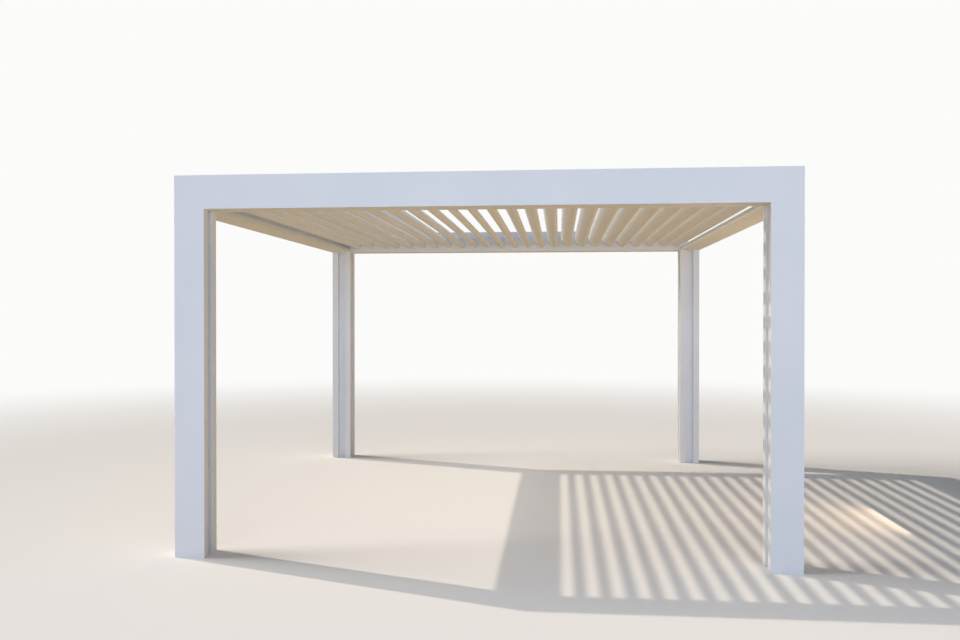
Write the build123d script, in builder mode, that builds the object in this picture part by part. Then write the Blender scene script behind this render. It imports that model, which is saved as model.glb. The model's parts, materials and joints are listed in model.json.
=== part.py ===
from build123d import *
import os

os.makedirs("parts", exist_ok=True)

# Driving sizes, in millimetres
# The origin is on the ground in the middle of the frame, with the front at -Y

width = 4000.0
depth = 4150.0
height = 2500.0

post_side = 200.0
post_wall = 3.0
guide_width = 75.0
guide_depth = 40.0
base_thickness = 20.0
base_edge = 2.0
anchor_spacing = 130.0
anchor_hole = 14.0

beam_height = 220.0
beam_box = 110.0
beam_wall = 3.0
gutter_floor = 4.0
gutter_wall = 3.0
gutter_lip = 37.0
gutter_flange = 50.0

rail_over_pivot = 30.0
rail_thickness = 12.0
rail_setback = 0.3

louvre_count = 25
louvre_overlap = 7.0
louvre_thickness = 52.0
louvre_wall = 2.5
louvre_tilt = 43.0
louvre_over_floor = 20.0
louvre_end_gap = 5.0
pivot_side_gap = 60.0
nose_clearance = 6.0
hood_length = 8.0
groove_width = 12.0
groove_depth = 8.0
edge_radius = 12.0
cap_thickness = 3.0

pin_diameter = 12.0
pin_clearance = 0.05

crank_side_gap = 4.0
crank_length = 50.0
crank_width = 22.0
crank_thickness = 6.0
crank_corner = 5.0
rod_side_gap = 0.3
rod_height = 24.0
rod_thickness = 6.0
rod_end = 20.0


# Places worked out from the driving sizes

half_width = width / 2
half_depth = depth / 2
beam_bottom = height - beam_height
gutter_width = post_side - beam_box
first_pivot = post_side + pivot_side_gap - half_width
louvre_pitch = -2 * first_pivot / (louvre_count - 1)
louvre_width = louvre_pitch + louvre_overlap
pivot_height = beam_bottom + gutter_floor + louvre_over_floor + louvre_width / 2
rail_face = half_depth - post_side + gutter_wall + rail_setback
louvre_end = half_depth - post_side - louvre_end_gap
crank_start = rail_face + rail_thickness + crank_side_gap
crank_end = crank_start + crank_thickness
rod_start = crank_end + rod_side_gap


# Posts: hollow square tubes with a screen guide channel in the two faces along the frame


def post_outline(side_x, side_y):
    Rectangle(post_side, post_side)
    with Locations((-side_x * (post_side - guide_depth) / 2, 0)):
        Rectangle(guide_depth, guide_width, mode=Mode.SUBTRACT)
    with Locations((0, -side_y * (post_side - guide_depth) / 2)):
        Rectangle(guide_width, guide_depth, mode=Mode.SUBTRACT)


def post_plane(side_x, side_y, at_height):
    x = side_x * (half_width - post_side / 2)
    y = side_y * (half_depth - post_side / 2)
    return Plane(origin=(x, y, at_height))


def make_post(side_x, side_y):
    with BuildPart() as post:
        with BuildSketch(post_plane(side_x, side_y, base_thickness)):
            post_outline(side_x, side_y)
            offset(amount=-post_wall, kind=Kind.INTERSECTION, mode=Mode.SUBTRACT)
        extrude(amount=beam_bottom - base_thickness)
    return post


def make_base(side_x, side_y):
    with BuildPart() as base:
        with BuildSketch(post_plane(side_x, side_y, 0)):
            post_outline(side_x, side_y)
            with GridLocations(anchor_spacing, anchor_spacing, 2, 2):
                Circle(anchor_hole / 2, mode=Mode.SUBTRACT)
        extrude(amount=base_thickness)
        chamfer(base.faces().sort_by(Axis.Z)[-1].outer_wire().edges(), base_edge)
    return base


corners = {
    "front_left": (-1, -1),
    "front_right": (1, -1),
    "back_left": (-1, 1),
    "back_right": (1, 1),
}
for corner, (side_x, side_y) in corners.items():
    post = make_post(side_x, side_y)
    post.part.label = "post_" + corner
    export_step(post.part, "parts/post_" + corner + ".step")
    base = make_base(side_x, side_y)
    base.part.label = "base_plate_" + corner
    export_step(base.part, "parts/base_plate_" + corner + ".step")


# Beams and gutters: hollow box beams with an open gutter on the inner face, mitred


def beam_profile():
    with Locations((beam_box / 2, beam_height / 2)):
        Rectangle(beam_box, beam_height)
        Rectangle(beam_box - 2 * beam_wall, beam_height - 2 * beam_wall, mode=Mode.SUBTRACT)


def gutter_profile():
    with Locations((beam_box, 0)):
        Rectangle(gutter_width, gutter_floor, align=(Align.MIN, Align.MIN))
        Rectangle(gutter_wall, gutter_flange, align=(Align.MIN, Align.MIN))
    with Locations((post_side, 0)):
        Rectangle(gutter_wall, gutter_lip, align=(Align.MAX, Align.MIN))


def make_side(profile, outer_edge, inward, length):
    """outer_edge is the middle of the outer bottom edge, and inward points to the other side."""
    along = inward.cross(Vector(0, 0, 1))
    profile_plane = Plane(origin=outer_edge, x_dir=inward, z_dir=along)
    with BuildPart() as side:
        with BuildSketch(profile_plane):
            profile()
        extrude(amount=length / 2, both=True)
        for end in (-1, 1):
            corner = outer_edge + along * (end * length / 2)
            split(bisect_by=Plane(origin=corner, z_dir=along * end + inward), keep=Keep.BOTTOM)
    return side


sides = {
    "front": (Vector(0, -half_depth, beam_bottom), Vector(0, 1, 0), width),
    "back": (Vector(0, half_depth, beam_bottom), Vector(0, -1, 0), width),
    "left": (Vector(-half_width, 0, beam_bottom), Vector(1, 0, 0), depth),
    "right": (Vector(half_width, 0, beam_bottom), Vector(-1, 0, 0), depth),
}
for name, (outer_edge, inward, length) in sides.items():
    beam = make_side(beam_profile, outer_edge, inward, length)
    beam.part.label = "beam_" + name
    export_step(beam.part, "parts/beam_" + name + ".step")
    gutter = make_side(gutter_profile, outer_edge, inward, length)
    gutter.part.label = "gutter_" + name
    export_step(gutter.part, "parts/gutter_" + name + ".step")


# Pivot rails: upright bars in the front and back gutters, slotted for the louvre pins


def make_pivot_rail(side_y):
    rail_length = 2 * (half_width - post_side)
    rail_bottom = beam_bottom + gutter_floor
    rail_height = pivot_height + rail_over_pivot - rail_bottom
    slot_width = pin_diameter + 2 * pin_clearance
    slot_depth = rail_over_pivot + slot_width / 2
    rail_plane = Plane(
        origin=(0, side_y * (rail_face + rail_thickness / 2), rail_bottom),
        x_dir=(1, 0, 0),
        z_dir=(0, -1, 0),
    )
    with BuildPart() as rail:
        with BuildSketch(rail_plane):
            Rectangle(rail_length, rail_height, align=(Align.CENTER, Align.MIN))
            with Locations((0, rail_height - slot_depth / 2)):
                with GridLocations(louvre_pitch, 0, louvre_count, 1):
                    Rectangle(slot_width, slot_depth, mode=Mode.SUBTRACT)
        extrude(amount=rail_thickness / 2, both=True)
    return rail


rails = {"pivot_rail_front": -1, "pivot_rail_back": 1}
for name, side_y in rails.items():
    rail = make_pivot_rail(side_y)
    rail.part.label = name
    export_step(rail.part, "parts/" + name + ".step")


# Louvres: hollow blades with a round nose, a rain groove, a hood, end pins and a crank

half_thick = louvre_thickness / 2
nose_centre = louvre_width / 2 - half_thick
body_start = nose_centre - louvre_pitch + half_thick + nose_clearance


def louvre_outline():
    with Locations((nose_centre, 0)):
        Circle(half_thick)
        body_length = nose_centre - body_start + hood_length
        Rectangle(body_length, louvre_thickness, align=(Align.MAX, Align.CENTER))
    with Locations((nose_centre - louvre_pitch, 0)):
        Circle(half_thick + nose_clearance, mode=Mode.SUBTRACT)
    with Locations((body_start, 0)):
        Rectangle(hood_length, half_thick, align=(Align.MAX, Align.MAX), mode=Mode.SUBTRACT)
    fillet(vertices().group_by(Axis.Y)[0].sort_by(Axis.X)[:1], edge_radius)
    with Locations((nose_centre, half_thick)):
        Rectangle(groove_width, groove_depth, align=(Align.MAX, Align.MAX), mode=Mode.SUBTRACT)


def louvre_hollow():
    half_hollow = half_thick - louvre_wall
    with Locations((nose_centre, 0)):
        RegularPolygon(half_hollow, 8)
        hollow_length = nose_centre - body_start - louvre_wall
        Rectangle(hollow_length, 2 * half_hollow, align=(Align.MAX, Align.CENTER))
    with Locations((nose_centre - groove_width / 2, half_thick)):
        groove_room = groove_width + 2 * louvre_wall
        Rectangle(groove_room, 2 * (groove_depth + louvre_wall), mode=Mode.SUBTRACT)


def end_plane(at_y, at_x=0.0, at_height=0.0):
    """A plane across the louvres whose sketches are extruded towards the front."""
    return Plane(origin=(at_x, at_y, at_height), x_dir=(1, 0, 0), z_dir=(0, -1, 0))


def make_blade():
    """A level blade, moved so that it balances on its pins."""
    with BuildPart() as blade:
        with BuildSketch(end_plane(louvre_end)):
            louvre_outline()
        extrude(amount=2 * louvre_end)
        with BuildSketch(end_plane(louvre_end - cap_thickness)):
            louvre_hollow()
        extrude(amount=2 * (louvre_end - cap_thickness), mode=Mode.SUBTRACT)
    return blade.part.moved(Location(-blade.part.center(CenterOf.MASS)))


def make_louvre(blade, at_x):
    with BuildPart() as louvre:
        with Locations(Location((at_x, 0, pivot_height), (0, louvre_tilt, 0))):
            add(blade)
        with BuildSketch(end_plane(-louvre_end, at_x, pivot_height)):
            Circle(pin_diameter / 2)
        extrude(amount=crank_start - louvre_end)
        with BuildSketch(end_plane(crank_start, at_x, pivot_height)):
            Circle(pin_diameter / 2)
        extrude(amount=crank_start - louvre_end)
        with BuildSketch(end_plane(crank_end, at_x, pivot_height)):
            with Locations((0, -crank_length / 2)):
                Rectangle(crank_width, crank_length + crank_width)
            chamfer(vertices(), crank_corner)
        extrude(amount=crank_thickness)
    return louvre


blade = make_blade()
for number in range(louvre_count):
    name = f"louvre_{number + 1:02d}"
    louvre = make_louvre(blade, first_pivot + number * louvre_pitch)
    louvre.part.label = name
    export_step(louvre.part, "parts/" + name + ".step")


# Drive rod: the flat bar that joins all the cranks, so that the louvres turn together

rod_plane = Plane(
    origin=(0, rod_start, pivot_height - crank_length), x_dir=(1, 0, 0), z_dir=(0, 1, 0)
)

with BuildPart() as drive_rod:
    with BuildSketch(rod_plane):
        Rectangle((louvre_count - 1) * louvre_pitch + 2 * rod_end, rod_height)
    extrude(amount=rod_thickness)
drive_rod.part.label = "drive_rod"
export_step(drive_rod.part, "parts/drive_rod.step")
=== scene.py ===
import json
from math import atan2, copysign, cos, pi, radians, sin

import bpy
from mathutils import Matrix, Vector

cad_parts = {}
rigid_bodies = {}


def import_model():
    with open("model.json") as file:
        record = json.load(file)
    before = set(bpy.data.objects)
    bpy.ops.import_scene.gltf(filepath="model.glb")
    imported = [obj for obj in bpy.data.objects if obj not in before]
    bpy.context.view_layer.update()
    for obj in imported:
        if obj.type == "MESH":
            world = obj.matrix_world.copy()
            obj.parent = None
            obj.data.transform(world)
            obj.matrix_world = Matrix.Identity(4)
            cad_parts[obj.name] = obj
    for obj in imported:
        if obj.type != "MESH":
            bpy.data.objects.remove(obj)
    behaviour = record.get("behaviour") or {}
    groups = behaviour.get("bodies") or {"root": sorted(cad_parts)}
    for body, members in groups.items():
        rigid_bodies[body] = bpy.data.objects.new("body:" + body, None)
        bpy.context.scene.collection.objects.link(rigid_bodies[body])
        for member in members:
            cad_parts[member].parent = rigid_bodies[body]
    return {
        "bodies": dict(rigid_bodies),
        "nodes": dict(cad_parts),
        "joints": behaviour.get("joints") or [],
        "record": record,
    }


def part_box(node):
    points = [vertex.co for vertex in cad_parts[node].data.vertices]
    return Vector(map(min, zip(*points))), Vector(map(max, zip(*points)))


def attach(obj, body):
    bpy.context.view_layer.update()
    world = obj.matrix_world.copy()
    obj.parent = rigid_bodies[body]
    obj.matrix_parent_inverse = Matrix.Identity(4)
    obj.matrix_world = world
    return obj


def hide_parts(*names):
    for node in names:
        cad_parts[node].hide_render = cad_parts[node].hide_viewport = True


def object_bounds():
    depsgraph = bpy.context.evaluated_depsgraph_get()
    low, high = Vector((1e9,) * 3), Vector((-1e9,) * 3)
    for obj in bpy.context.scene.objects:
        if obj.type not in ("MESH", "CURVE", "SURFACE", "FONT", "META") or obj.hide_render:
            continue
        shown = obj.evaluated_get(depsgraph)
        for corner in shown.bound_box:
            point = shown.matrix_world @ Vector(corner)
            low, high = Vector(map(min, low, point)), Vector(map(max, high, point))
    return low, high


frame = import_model()
cad_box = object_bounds()


# Sizes of the fittings, in metres

RIVET_RADIUS = 0.004
RIVET_HEAD_RADIUS = 0.0075
RIVET_HEAD = 0.0022
CRANK_LENGTH = 0.05
CRANK_THICKNESS = 0.006
CRANK_ROD_GAP = 0.0003

PIN_RADIUS = 0.006
PIN_SINK = 0.002
KEEPER_RADIUS = 0.013
KEEPER_HOLE = 0.0063
KEEPER_THICKNESS = 0.0016
KEEPER_RISE = 0.016
KEEPER_EDGE = 0.0004
ABOVE_MIDDLE = 0.0001
KEEPER_SCREW_X = 0.0092
KEEPER_SCREW_Z = 0.018

SCREW_RADIUS = 0.0024
SCREW_HEAD = 0.0011

LOUVRE_TILT = radians(43)
LOUVRE_END_GAP = 0.005
LOUVRE_THICKNESS = 0.052
NOSE_CENTRE = 0.0455
NOSE_DROP = 0.0027
BELLY_START = 0.02
BELLY_REACH = 0.0675
HOOD_REACH = 0.0755
GROOVE_WIDTH = 0.012
GROOVE_DEPTH = 0.008
SECTION_STEPS = 96
HOOD_STEPS = 4
CAP_MARGIN = 0.001
CAP_RIM = 0.0009
CAP_THICKNESS = 0.0016
CAP_RECESS = 0.0005
CAP_SCREW_OFFSET = 0.036
CRANK_WIDTH = 0.022
CRANK_CORNER = 0.005

SEAL_RADIUS = 0.0028
SEAL_SINK = 0.0012
SEAL_ANGLE = radians(36)
NOSE_CLEARANCE = 0.006

POST_SIDE = 0.2
BEAM_BOX = 0.11
GUTTER_FLOOR = 0.004
STRAINER_RADIUS = 0.03
STRAINER_WIRE = 0.0022
SEALANT_WIDTH = 0.007
SEALANT_HEIGHT = 0.0014
MITRE_WIDTH = 0.0012
MITRE_HEIGHT = 0.0002


# Materials


def linear(hex_colour):
    """The linear colour of an sRGB hex value such as "E8EAEA"."""
    channels = [int(hex_colour[i : i + 2], 16) / 255 for i in (0, 2, 4)]
    return tuple(
        c / 12.92 if c <= 0.04045 else ((c + 0.055) / 1.055) ** 2.4 for c in channels
    ) + (1.0,)


def add(tree, kind, settings=(), links=()):
    """Adds a node, sets its inputs and properties, and links other nodes' outputs to it."""
    node = tree.nodes.new(kind)
    for name, value in dict(settings).items():
        if name in node.inputs:
            node.inputs[name].default_value = value
        else:
            setattr(node, name, value)
    for name, socket in dict(links).items():
        tree.links.new(socket, node.inputs[name])
    return node


def new_material(name):
    material = bpy.data.materials.new(name)
    material.use_nodes = True
    tree = material.node_tree
    shader = tree.nodes["Principled BSDF"]
    place = add(tree, "ShaderNodeTexCoord").outputs["Object"]
    return material, tree, shader, place


def powder_coat(name, pale, dark, grain_depth):
    """Polyester powder baked on aluminium: an even matt white with a fine pebbled grain close up.

    The grain is drawn at 4 mm, twice the real orange peel, so that it shows in a close render.
    """
    material, tree, shader, place = new_material(name)
    cloud = add(tree, "ShaderNodeTexNoise", {"Scale": 1.7, "Detail": 3.0}, {"Vector": place})
    tone = add(tree, "ShaderNodeValToRGB", links={"Fac": cloud.outputs["Fac"]})
    tone.color_ramp.elements[0].position = 0.35
    tone.color_ramp.elements[0].color = linear(dark)
    tone.color_ramp.elements[1].position = 0.65
    tone.color_ramp.elements[1].color = linear(pale)
    tree.links.new(tone.outputs["Color"], shader.inputs["Base Color"])
    peel = add(tree, "ShaderNodeTexNoise", {"Scale": 250.0, "Detail": 2.0}, {"Vector": place})
    gloss = add(
        tree,
        "ShaderNodeMapRange",
        {"To Min": 0.42, "To Max": 0.56},
        {"Value": peel.outputs["Fac"]},
    )
    tree.links.new(gloss.outputs["Result"], shader.inputs["Roughness"])
    bump = add(
        tree,
        "ShaderNodeBump",
        {"Strength": 0.35, "Distance": grain_depth},
        {"Height": peel.outputs["Fac"]},
    )
    tree.links.new(bump.outputs["Normal"], shader.inputs["Normal"])
    return material


def brushed_stainless():
    """Stainless bar brushed along its length: fine streaks spread the highlight across it."""
    material, tree, shader, place = new_material("brushed_stainless_steel")
    shader.inputs["Metallic"].default_value = 1.0
    stretch = add(tree, "ShaderNodeMapping", {"Scale": (4.0, 900.0, 900.0)}, {"Vector": place})
    streaks = add(
        tree,
        "ShaderNodeTexNoise",
        {"Scale": 1.0, "Detail": 3.0},
        {"Vector": stretch.outputs["Vector"]},
    )
    tone = add(tree, "ShaderNodeValToRGB", links={"Fac": streaks.outputs["Fac"]})
    tone.color_ramp.elements[0].color = linear("9FA2A3")
    tone.color_ramp.elements[1].color = linear("C8CACB")
    tree.links.new(tone.outputs["Color"], shader.inputs["Base Color"])
    gloss = add(
        tree,
        "ShaderNodeMapRange",
        {"To Min": 0.28, "To Max": 0.42},
        {"Value": streaks.outputs["Fac"]},
    )
    tree.links.new(gloss.outputs["Result"], shader.inputs["Roughness"])
    return material


def moulded(name, pale, dark, roughness, spot_scale, depth):
    """A moulded part: an even colour, a faint mottle and a fine grain that dulls the sheen."""
    material, tree, shader, place = new_material(name)
    shader.inputs["Roughness"].default_value = roughness
    mottle = add(
        tree, "ShaderNodeTexNoise", {"Scale": spot_scale, "Detail": 4.0}, {"Vector": place}
    )
    tone = add(tree, "ShaderNodeValToRGB", links={"Fac": mottle.outputs["Fac"]})
    tone.color_ramp.elements[0].position = 0.3
    tone.color_ramp.elements[0].color = linear(dark)
    tone.color_ramp.elements[1].position = 0.7
    tone.color_ramp.elements[1].color = linear(pale)
    tree.links.new(tone.outputs["Color"], shader.inputs["Base Color"])
    bump = add(
        tree,
        "ShaderNodeBump",
        {"Strength": 0.4, "Distance": depth},
        {"Height": mottle.outputs["Fac"]},
    )
    tree.links.new(bump.outputs["Normal"], shader.inputs["Normal"])
    return material


frame_coat = powder_coat("powder_coated_frame", "E9EBEC", "E5E8E9", 0.0002)
louvre_coat = powder_coat("powder_coated_louvres", "EAEAE8", "E6E7E5", 0.0002)
stainless = brushed_stainless()
# Acetal for the bearing keepers and louvre end caps: pale, waxy and a little duller than the coat
acetal = moulded("white_acetal", "DFE0DE", "D8D9D7", 0.38, 160.0, 0.0001)
# EPDM rubber for the rain seals: soft pale grey with a dry sheen
epdm = moulded("grey_epdm_rubber", "A6A8A9", "9C9E9F", 0.62, 420.0, 0.0002)
# Silicone worked into the corner joints: translucent white that dries slightly uneven
silicone = moulded("white_silicone", "E2E3E1", "D5D7D5", 0.3, 90.0, 0.0004)

slot_materials = {
    "frame_coat": frame_coat,
    "louvre_coat": louvre_coat,
    "drive_metal": stainless,
}
for subpart in frame["record"]["subparts"]:
    node = frame["nodes"][subpart["node"]]
    node.data.materials.clear()
    node.data.materials.append(slot_materials[subpart["material_slot"]])


# Mesh helpers


def start():
    """Leaves edit mode and deselects everything, the loaded frame included."""
    if bpy.context.object and bpy.context.object.mode == "EDIT":
        bpy.ops.object.mode_set(mode="OBJECT")
    bpy.ops.object.select_all(action="DESELECT")


def activate(piece):
    start()
    piece.select_set(True)
    bpy.context.view_layer.objects.active = piece


def pick(test):
    """Selects the faces that pass the test, in the object being edited, and nothing else."""
    piece = bpy.context.object
    bpy.ops.mesh.select_all(action="DESELECT")
    bpy.ops.object.mode_set(mode="OBJECT")
    for face in piece.data.polygons:
        face.select = test(face)
    bpy.ops.object.mode_set(mode="EDIT")


def settle(name, material):
    """Finishes the active object: its place goes into its mesh, and it gets name and material."""
    piece = bpy.context.object
    if piece.mode == "EDIT":
        bpy.ops.object.mode_set(mode="OBJECT")
    for modifier in list(piece.modifiers):
        bpy.ops.object.modifier_apply(modifier=modifier.name)
    bpy.ops.object.transform_apply(location=True, rotation=True, scale=True)
    piece.name = name
    piece.data.name = name
    piece.data.materials.clear()
    piece.data.materials.append(material)
    bpy.ops.object.shade_smooth_by_angle(angle=radians(35))
    return piece


def own_copy(piece, name, place):
    """A copy of the piece, with its own mesh, moved to the place."""
    copy = piece.copy()
    copy.data = piece.data.copy()
    copy.data.transform(Matrix.Translation(place))
    copy.name = name
    copy.data.name = name
    bpy.context.scene.collection.objects.link(copy)
    return copy


def join(name, pieces):
    """Joins the pieces into the first one."""
    activate(pieces[0])
    for piece in pieces:
        piece.select_set(True)
    bpy.ops.object.join()
    joined = bpy.context.object
    joined.name = name
    joined.data.name = name
    return joined


def copies(piece, places):
    """Joins copies of the piece, one at each place, into one object that takes the piece's name."""
    name = piece.name
    made = [own_copy(piece, name, place) for place in places]
    mesh = piece.data
    bpy.data.objects.remove(piece)
    bpy.data.meshes.remove(mesh)
    return join(name, made)


def screw_head(name, radius, height, material):
    """A low domed head with a round recess, on the XZ plane, rising towards -Y."""
    start()
    bpy.ops.mesh.primitive_cylinder_add(
        vertices=16, radius=radius, depth=height, rotation=(pi / 2, 0, 0)
    )
    bpy.ops.object.transform_apply(location=False, rotation=True, scale=False)
    bpy.ops.object.mode_set(mode="EDIT")
    pick(lambda face: face.normal.y < -0.9)
    bpy.ops.mesh.inset(thickness=radius * 0.25)
    bpy.ops.transform.translate(value=(0, -height * 0.35, 0))
    bpy.ops.mesh.inset(thickness=radius * 0.35)
    bpy.ops.mesh.extrude_region_move(
        TRANSFORM_OT_translate={"value": (0, height * 0.6, 0)}
    )
    bpy.ops.transform.resize(value=(0.6, 1, 0.6))
    bpy.ops.object.mode_set(mode="OBJECT")
    bpy.context.object.data.transform(Matrix.Translation((0, -height / 2, 0)))
    return settle(name, material)


# Places read from the frame

louvre_bodies = [name for name in frame["bodies"] if name.startswith("louvre_")]
pivots = {
    joint["child"]: Vector(joint["pos_m"])
    for joint in frame["joints"]
    if joint["child"] in louvre_bodies
}
louvre_pitch = pivots["louvre_02"].x - pivots["louvre_01"].x
rail_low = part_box("pivot_rail_back")[0]
rod_low, rod_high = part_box("drive_rod")
gutter_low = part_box("gutter_back")[0]
louvre_end = gutter_low.y - LOUVRE_END_GAP
gutter_top = gutter_low.z + GUTTER_FLOOR
frame_high = cad_box[1]


# Rivets that hold the drive rod to the cranks


def make_rivets():
    """Rivets through the cranks and the drive rod, with a domed head at both ends."""
    shank_start = rod_low.y - CRANK_ROD_GAP - CRANK_THICKNESS - RIVET_HEAD * 0.7
    shank_end = rod_high.y
    start()
    bpy.ops.mesh.primitive_cylinder_add(
        vertices=20,
        radius=RIVET_RADIUS,
        depth=shank_end - shank_start,
        location=(0, (shank_start + shank_end) / 2, 0),
        rotation=(pi / 2, 0, 0),
    )
    bpy.ops.object.transform_apply(location=True, rotation=True, scale=False)
    bpy.ops.object.mode_set(mode="EDIT")
    for side in (-1, 1):
        pick(lambda face: face.normal.y * side > 0.9)
        spread = RIVET_HEAD_RADIUS / RIVET_RADIUS
        bpy.ops.mesh.extrude_region_move()
        bpy.ops.transform.resize(value=(spread, 1, spread))
        bpy.ops.mesh.extrude_region_move(
            TRANSFORM_OT_translate={"value": (0, side * RIVET_HEAD * 0.35, 0)}
        )
        bpy.ops.mesh.extrude_region_move(
            TRANSFORM_OT_translate={"value": (0, side * RIVET_HEAD * 0.4, 0)}
        )
        bpy.ops.transform.resize(value=(0.78, 1, 0.78))
        bpy.ops.mesh.extrude_region_move(
            TRANSFORM_OT_translate={"value": (0, side * RIVET_HEAD * 0.2, 0)}
        )
        bpy.ops.transform.resize(value=(0.5, 1, 0.5))
    rivet = settle("drive_rod_rivets", stainless)
    places = [(pivot.x, 0, pivot.z - CRANK_LENGTH) for pivot in pivots.values()]
    rivets = copies(rivet, places)
    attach(rivets, "drive_rod")


make_rivets()


# Keepers that close the pin slots of the pivot rails


def make_keepers(side_y, name):
    """Plates round the pins, with two screws each, on the outer face of a pivot rail."""
    start()
    bpy.ops.mesh.primitive_circle_add(
        vertices=32, radius=KEEPER_RADIUS, fill_type="NOTHING", rotation=(pi / 2, 0, 0)
    )
    bpy.ops.object.transform_apply(location=False, rotation=True, scale=False)
    bpy.ops.object.mode_set(mode="EDIT")
    bpy.ops.mesh.select_all(action="SELECT")
    shrink = KEEPER_HOLE / KEEPER_RADIUS
    bpy.ops.mesh.extrude_edges_move()
    bpy.ops.transform.resize(value=(shrink, 1, shrink))
    bpy.ops.mesh.select_mode(type="VERT")
    bpy.ops.object.mode_set(mode="OBJECT")
    plate = bpy.context.object
    for vertex in plate.data.vertices:
        outer = vertex.co.xz.length > (KEEPER_RADIUS + KEEPER_HOLE) / 2
        vertex.select = outer and vertex.co.z > ABOVE_MIDDLE
    bpy.ops.object.mode_set(mode="EDIT")
    bpy.ops.transform.translate(value=(0, 0, KEEPER_RISE))
    bpy.ops.mesh.select_mode(type="FACE")
    bpy.ops.object.mode_set(mode="OBJECT")
    thickness = plate.modifiers.new("thickness", "SOLIDIFY")
    thickness.thickness = KEEPER_THICKNESS
    thickness.offset = 0.0
    edge = plate.modifiers.new("edge", "BEVEL")
    edge.width = KEEPER_EDGE
    edge.segments = 2
    edge.limit_method = "ANGLE"
    plate = settle("keeper_plate", acetal)
    screws = copies(
        screw_head("keeper_screw", SCREW_RADIUS, SCREW_HEAD, stainless),
        [(x, -KEEPER_THICKNESS / 2, KEEPER_SCREW_Z) for x in (-KEEPER_SCREW_X, KEEPER_SCREW_X)],
    )
    keeper = join(name, [plate, screws])
    if side_y < 0:
        keeper.data.transform(Matrix.Rotation(pi, 4, "Z"))
    face = side_y * (rail_low.y - KEEPER_THICKNESS / 2)
    keepers = copies(keeper, [(pivot.x, face, pivot.z) for pivot in pivots.values()])
    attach(keepers, "frame")


make_keepers(1, "pin_keepers_back")
make_keepers(-1, "pin_keepers_front")


# Louvres: blades with a convex underside, their pins and cranks, and end caps


def section_point(angle):
    """The blade's outline at an angle round it, level and from the pivot.

    A half circle makes the nose, a quarter of an ellipse the underside, and a flat top ends in
    the hood's upright edge. The top's points stand half a step past the quarter turn.
    """
    half = LOUVRE_THICKNESS / 2
    if cos(angle) > 0:
        return NOSE_CENTRE + half * cos(angle), half * sin(angle) - NOSE_DROP
    if sin(angle) < 0:
        reach = BELLY_START + BELLY_REACH
        return BELLY_START + reach * cos(angle), half * sin(angle) - NOSE_DROP
    top = BELLY_START + HOOD_REACH
    quarter = SECTION_STEPS / 4
    step = (angle - pi / 2) / (pi / 2) * quarter - 0.5
    travel = step * top / (quarter - HOOD_STEPS)
    down = max(0.0, travel - top)
    return BELLY_START - min(travel, top), half - NOSE_DROP - down


def cut(piece, cutter):
    """Takes the cutter's shape out of the piece."""
    boolean = piece.modifiers.new("cut", "BOOLEAN")
    boolean.object = cutter
    boolean.operation = "DIFFERENCE"
    activate(piece)
    bpy.ops.object.modifier_apply(modifier=boolean.name)
    bpy.data.objects.remove(cutter)


def make_blade():
    """A level blade: a cylinder drawn out to the section, less the hood's hollow and the groove."""
    start()
    bpy.ops.mesh.primitive_cylinder_add(
        vertices=SECTION_STEPS,
        radius=LOUVRE_THICKNESS / 2,
        depth=2 * louvre_end,
        rotation=(pi / 2, pi / SECTION_STEPS, 0),
    )
    bpy.ops.object.transform_apply(location=False, rotation=True, scale=False)
    blade = bpy.context.object
    for vertex in blade.data.vertices:
        angle = atan2(vertex.co.z, vertex.co.x) % (2 * pi)
        vertex.co.x, vertex.co.z = section_point(angle)
    bpy.ops.mesh.primitive_cylinder_add(
        vertices=SECTION_STEPS,
        radius=LOUVRE_THICKNESS / 2 + NOSE_CLEARANCE,
        depth=2 * frame_high.y,
        location=(NOSE_CENTRE - louvre_pitch, 0, -NOSE_DROP),
        rotation=(pi / 2, 0, 0),
    )
    cut(blade, bpy.context.object)
    bpy.ops.mesh.primitive_cube_add(
        size=1,
        location=(NOSE_CENTRE - GROOVE_WIDTH / 2, 0, LOUVRE_THICKNESS / 2 - NOSE_DROP),
        scale=(GROOVE_WIDTH, 2 * frame_high.y, 2 * GROOVE_DEPTH),
    )
    cut(blade, bpy.context.object)
    return blade


def make_end_cap(blade):
    """A thin plate with a raised rim over the blade's front end, with its screws."""
    cap = own_copy(blade, "end_cap_plate", (0, 0, 0))
    activate(cap)
    bpy.ops.object.mode_set(mode="EDIT")
    pick(lambda face: face.normal.y > -0.9)
    bpy.ops.mesh.delete(type="FACE")
    bpy.ops.mesh.select_all(action="SELECT")
    bpy.ops.mesh.inset(thickness=CAP_MARGIN)
    bpy.ops.mesh.select_all(action="INVERT")
    bpy.ops.mesh.delete(type="FACE")
    bpy.ops.mesh.select_all(action="SELECT")
    bpy.ops.mesh.extrude_region_move(TRANSFORM_OT_translate={"value": (0, -CAP_THICKNESS, 0)})
    bpy.ops.mesh.inset(thickness=CAP_RIM)
    bpy.ops.mesh.extrude_region_move(TRANSFORM_OT_translate={"value": (0, CAP_RECESS, 0)})
    settle("end_cap_plate", acetal)
    screws = copies(
        screw_head("cap_screw", SCREW_RADIUS, SCREW_HEAD, stainless),
        [
            (x, CAP_RECESS - louvre_end - CAP_THICKNESS, -NOSE_DROP)
            for x in (-CAP_SCREW_OFFSET, CAP_SCREW_OFFSET)
        ],
    )
    return join("end_cap", [cap, screws])


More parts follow.
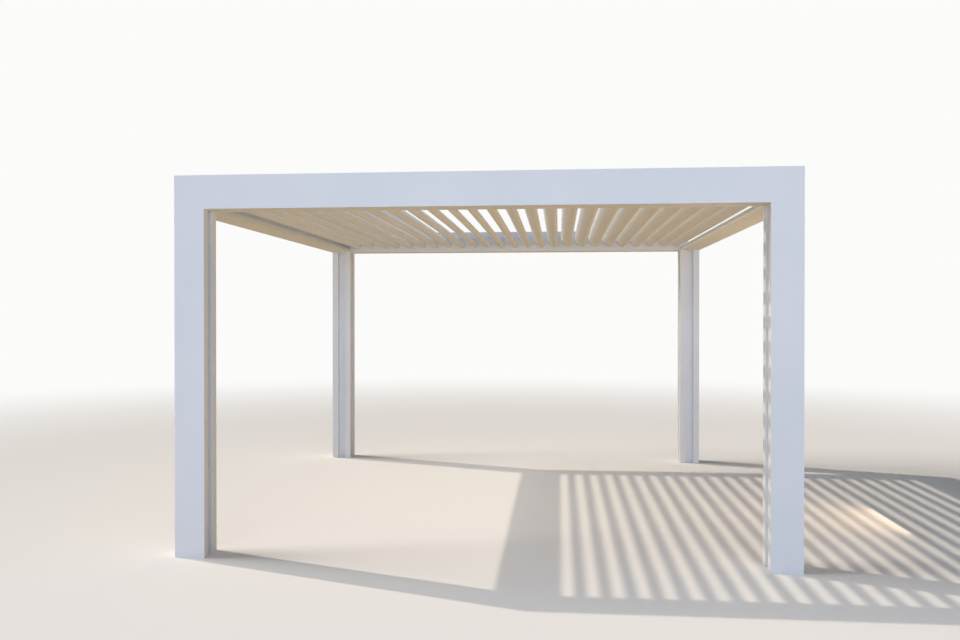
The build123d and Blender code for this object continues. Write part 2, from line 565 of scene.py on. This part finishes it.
def make_pins_and_crank():
    """The pins at both ends and the crank at the back, which hangs straight down."""
    crank_back = rod_low.y - CRANK_ROD_GAP
    crank_front = crank_back - CRANK_THICKNESS
    pins = []
    for side in (-1, 1):
        start()
        bpy.ops.mesh.primitive_cylinder_add(
            vertices=32,
            radius=PIN_RADIUS,
            depth=crank_front - louvre_end + PIN_SINK,
            location=(0, side * (crank_front + louvre_end - PIN_SINK) / 2, 0),
            rotation=(pi / 2, 0, 0),
        )
        pins.append(settle("louvre_pin", louvre_coat))
    start()
    bpy.ops.mesh.primitive_cylinder_add(
        vertices=8,
        radius=CRANK_WIDTH,
        depth=CRANK_THICKNESS,
        location=(0, (crank_front + crank_back) / 2, 0),
        rotation=(pi / 2, pi / 8, 0),
    )
    bpy.ops.object.transform_apply(location=True, rotation=True, scale=False)
    for vertex in bpy.context.object.data.vertices:
        side_x, side_z = vertex.co.x, vertex.co.z
        upright = abs(side_x) > abs(side_z)
        half_width = CRANK_WIDTH / 2 - (0 if upright else CRANK_CORNER)
        half_height = (CRANK_LENGTH + CRANK_WIDTH) / 2 - (CRANK_CORNER if upright else 0)
        vertex.co.x = copysign(half_width, side_x)
        vertex.co.z = copysign(half_height, side_z) - CRANK_LENGTH / 2
    return pins + [settle("crank", louvre_coat)]


def make_louvres():
    """Models one louvre level, tilts it and puts a copy on each louvre body."""
    blade = make_blade()
    front_cap = make_end_cap(blade)
    back_cap = own_copy(front_cap, "back_cap", (0, 0, 0))
    back_cap.data.transform(Matrix.Scale(-1, 4, (0, 1, 0)))
    back_cap.data.flip_normals()
    caps = join("cap_pair", [front_cap, back_cap])
    activate(blade)
    settle("blade", louvre_coat)
    for level in (blade, caps):
        level.data.transform(Matrix.Rotation(LOUVRE_TILT, 4, "Y"))
    louvre = join("louvre", [blade] + make_pins_and_crank())
    for body, pivot in pivots.items():
        place = (pivot.x, 0, pivot.z)
        turned = own_copy(louvre, body + "_blade", place)
        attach(turned, body)
        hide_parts(body)
        ends = own_copy(caps, body + "_end_caps", place)
        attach(ends, body)
    bpy.data.objects.remove(louvre)
    bpy.data.objects.remove(caps)


make_louvres()


# Rain seals under the hood of each louvre


def along_louvre(across, up):
    """A point of the tilted louvre section, from the pivot."""
    return Vector(
        (
            across * cos(LOUVRE_TILT) + up * sin(LOUVRE_TILT),
            0,
            up * cos(LOUVRE_TILT) - across * sin(LOUVRE_TILT),
        )
    )


def make_rain_seals():
    """A soft bead in the hood of each louvre, which closes on the next louvre's nose."""
    length = 2 * louvre_end
    start()
    bpy.ops.mesh.primitive_cylinder_add(
        vertices=12, radius=SEAL_RADIUS, depth=length, rotation=(pi / 2, 0, 0)
    )
    bpy.ops.object.transform_apply(location=False, rotation=True, scale=False)
    seal = bpy.context.object
    bpy.ops.object.mode_set(mode="EDIT")
    pick(lambda face: abs(face.normal.y) > 0.9)
    bpy.ops.mesh.inset(thickness=SEAL_RADIUS * 0.3)
    bpy.ops.mesh.extrude_region_shrink_fatten(
        TRANSFORM_OT_shrink_fatten={"value": SEAL_RADIUS * 0.2}
    )
    seal = settle("rain_seal", epdm)
    reach = LOUVRE_THICKNESS / 2 + NOSE_CLEARANCE - SEAL_SINK
    edge = along_louvre(
        NOSE_CENTRE - louvre_pitch + reach * cos(SEAL_ANGLE),
        reach * sin(SEAL_ANGLE) - NOSE_DROP,
    )
    seal.data.transform(Matrix.Translation(edge))
    for body, pivot in pivots.items():
        piece = own_copy(seal, body + "_rain_seal", (pivot.x, 0, pivot.z))
        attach(piece, body)
    bpy.data.objects.remove(seal)


make_rain_seals()


# Leaf strainers and sealant in the gutter corners, and the mitre lines on top


def make_strainers():
    """A wire dome on a ring over the drain in each gutter corner."""
    start()
    bpy.ops.mesh.primitive_uv_sphere_add(segments=20, ring_count=10, radius=STRAINER_RADIUS)
    dome = bpy.context.object
    bpy.ops.object.mode_set(mode="EDIT")
    pick(lambda face: face.center.z < 0)
    bpy.ops.mesh.delete(type="FACE")
    bpy.ops.object.mode_set(mode="OBJECT")
    wire = dome.modifiers.new("wire", "WIREFRAME")
    wire.thickness = STRAINER_WIRE
    wire.use_boundary = True
    settle("gutter_strainers", stainless)
    start()
    bpy.ops.mesh.primitive_torus_add(
        major_segments=40,
        minor_segments=10,
        major_radius=STRAINER_RADIUS,
        minor_radius=STRAINER_WIRE,
        location=(0, 0, STRAINER_WIRE * 0.6),
    )
    ring = settle("strainer_ring", stainless)
    strainer = join("gutter_strainers", [dome, ring])
    reach_x = frame_high.x - (POST_SIDE + BEAM_BOX) / 2
    reach_y = frame_high.y - (POST_SIDE + BEAM_BOX) / 2
    strainers = copies(
        strainer, [(x, y, gutter_top) for x in (-reach_x, reach_x) for y in (-reach_y, reach_y)]
    )
    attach(strainers, "frame")


def mitre_strip(name, inner, outer, width, height, at_height, material):
    """A strip along each corner's mitre, from one distance inside the outer corner to another."""
    length = (outer - inner) * 2**0.5
    start()
    bpy.ops.mesh.primitive_cube_add(size=1)
    bpy.ops.transform.resize(value=(length, width, height))
    bpy.ops.object.transform_apply(location=True, rotation=True, scale=True)
    bpy.ops.object.mode_set(mode="EDIT")
    pick(lambda face: face.normal.z > 0.9)
    bpy.ops.mesh.inset(thickness=width * 0.25)
    bpy.ops.transform.translate(value=(0, 0, height * 0.4))
    strip = settle(name, material)
    strip.data.transform(Matrix.Translation((0, 0, height / 2)))
    middle = (inner + outer) / 2
    corners = []
    for side_x in (-1, 1):
        for side_y in (-1, 1):
            place = (side_x * (frame_high.x - middle), side_y * (frame_high.y - middle), at_height)
            corner = own_copy(strip, name + "_corner", (0, 0, 0))
            corner.data.transform(Matrix.Rotation(side_x * side_y * pi / 4, 4, "Z"))
            corner.data.transform(Matrix.Translation(place))
            corners.append(corner)
    bpy.data.objects.remove(strip)
    strips = join(name, corners)
    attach(strips, "frame")


make_strainers()
mitre_strip(
    "gutter_corner_sealant",
    BEAM_BOX,
    POST_SIDE,
    SEALANT_WIDTH,
    SEALANT_HEIGHT,
    gutter_top,
    silicone,
)
mitre_strip("beam_mitre_lines", 0.0, BEAM_BOX, MITRE_WIDTH, MITRE_HEIGHT, frame_high.z, silicone)


# Floor, light and camera

PALE = "FBFBFA"
FLOOR_RADIUS = 60.0
FADE_START = 5.0
FADE_END = 15.0
CAMERA_PLACE = (0.502, -7.485, 1.592)
CAMERA_TURN = (radians(89.63), 0.0, radians(5.23))
CAMERA_LENS = 32.2
CAMERA_SENSOR = 36.0


def make_floor():
    """A pale floor that fades into the background colour away from the pergola."""
    start()
    bpy.ops.mesh.primitive_circle_add(vertices=96, radius=FLOOR_RADIUS, fill_type="NGON")
    floor = bpy.context.object
    floor.name = "floor"
    material = bpy.data.materials.new("pale_floor")
    material.use_nodes = True
    tree = material.node_tree
    tree.nodes.clear()
    place = add(tree, "ShaderNodeTexCoord").outputs["Object"]
    camera_ray = add(tree, "ShaderNodeLightPath").outputs["Is Camera Ray"]
    bounce = add(tree, "ShaderNodeBsdfDiffuse", {"Color": linear("C6B294")})
    seen = add(tree, "ShaderNodeBsdfDiffuse", {"Color": linear("EEEAE5")})
    paint = add(tree, "ShaderNodeMixShader", links={"Fac": camera_ray})
    tree.links.new(bounce.outputs["BSDF"], paint.inputs[1])
    tree.links.new(seen.outputs["BSDF"], paint.inputs[2])
    glow = add(tree, "ShaderNodeEmission", {"Color": linear(PALE)})
    distance = add(tree, "ShaderNodeVectorMath", {"operation": "LENGTH"}, {"Vector": place})
    fade = add(
        tree,
        "ShaderNodeMapRange",
        {"From Min": FADE_START, "From Max": FADE_END, "interpolation_type": "SMOOTHSTEP"},
        {"Value": distance.outputs["Value"]},
    )
    amount = add(tree, "ShaderNodeMath", {"operation": "MULTIPLY"})
    tree.links.new(fade.outputs["Result"], amount.inputs[0])
    tree.links.new(camera_ray, amount.inputs[1])
    mix = add(tree, "ShaderNodeMixShader", links={"Fac": amount.outputs["Value"]})
    tree.links.new(paint.outputs["Shader"], mix.inputs[1])
    tree.links.new(glow.outputs["Emission"], mix.inputs[2])
    output = add(tree, "ShaderNodeOutputMaterial")
    tree.links.new(mix.outputs["Shader"], output.inputs["Surface"])
    floor.data.materials.append(material)


def make_world():
    """Dim sky light on the pergola, and the pale backdrop for the camera and reflections."""
    world = bpy.data.worlds.new("studio")
    bpy.context.scene.world = world
    world.use_nodes = True
    tree = world.node_tree
    tree.nodes.clear()
    light = add(tree, "ShaderNodeBackground", {"Color": linear("DDE7F4"), "Strength": 0.22})
    backdrop = add(tree, "ShaderNodeBackground", {"Color": linear(PALE), "Strength": 1.0})
    path = add(tree, "ShaderNodeLightPath")
    seen = add(tree, "ShaderNodeMath", {"operation": "MAXIMUM"})
    tree.links.new(path.outputs["Is Camera Ray"], seen.inputs[0])
    tree.links.new(path.outputs["Is Glossy Ray"], seen.inputs[1])
    mix = add(tree, "ShaderNodeMixShader", links={"Fac": seen.outputs["Value"]})
    tree.links.new(light.outputs["Background"], mix.inputs[1])
    tree.links.new(backdrop.outputs["Background"], mix.inputs[2])
    output = add(tree, "ShaderNodeOutputWorld")
    tree.links.new(mix.outputs["Shader"], output.inputs["Surface"])


def add_lamp(name, kind, energy, colour, place, travel):
    lamp = bpy.data.lights.new(name, kind)
    lamp.energy = energy
    lamp.color = linear(colour)[:3]
    holder = bpy.data.objects.new(name, lamp)
    bpy.context.scene.collection.objects.link(holder)
    holder.location = place
    holder.rotation_euler = Vector(travel).to_track_quat("-Z", "Y").to_euler()
    return holder


def add_panel(name, watts, colour, place, travel, width, height):
    panel = add_lamp(name, "AREA", watts, colour, place, travel)
    panel.data.shape = "RECTANGLE"
    panel.data.size = width
    panel.data.size_y = height
    panel.visible_camera = False


def make_lamps():
    """Two suns and two panels.

    The sharp sun shines through the open louvres, and the soft one comes in lower from the left,
    so that the undersides darken towards the noses. A cool panel lights the front and a warm one
    the undersides of the beams.
    """
    sharp = add_lamp("sharp_sun", "SUN", 1.5, "FFF3E2", (-4, 2, 6), (1.0, -0.35, -1.07))
    sharp.data.angle = radians(0.7)
    soft = add_lamp("soft_sun", "SUN", 1.8, "FBFBFC", (0, 0, 6), (1, 0, -0.7))
    soft.data.angle = radians(28)
    add_panel("front_panel", 1310, "C9DDFF", (0, -16, 2.6), (0, 1, 0), 16, 5)
    add_panel("right_panel", 40, "FFDFBA", (3.6, -0.6, 0.6), (-1, 0, 0.9), 0.8, 3.6)


def make_camera():
    camera = bpy.data.objects.new("camera", bpy.data.cameras.new("camera"))
    bpy.context.scene.collection.objects.link(camera)
    camera.location = CAMERA_PLACE
    camera.rotation_euler = CAMERA_TURN
    camera.data.lens = CAMERA_LENS
    camera.data.sensor_width = CAMERA_SENSOR
    bpy.context.scene.camera = camera


make_floor()
make_world()
make_lamps()
make_camera()
bpy.context.scene.view_settings.view_transform = "Standard"
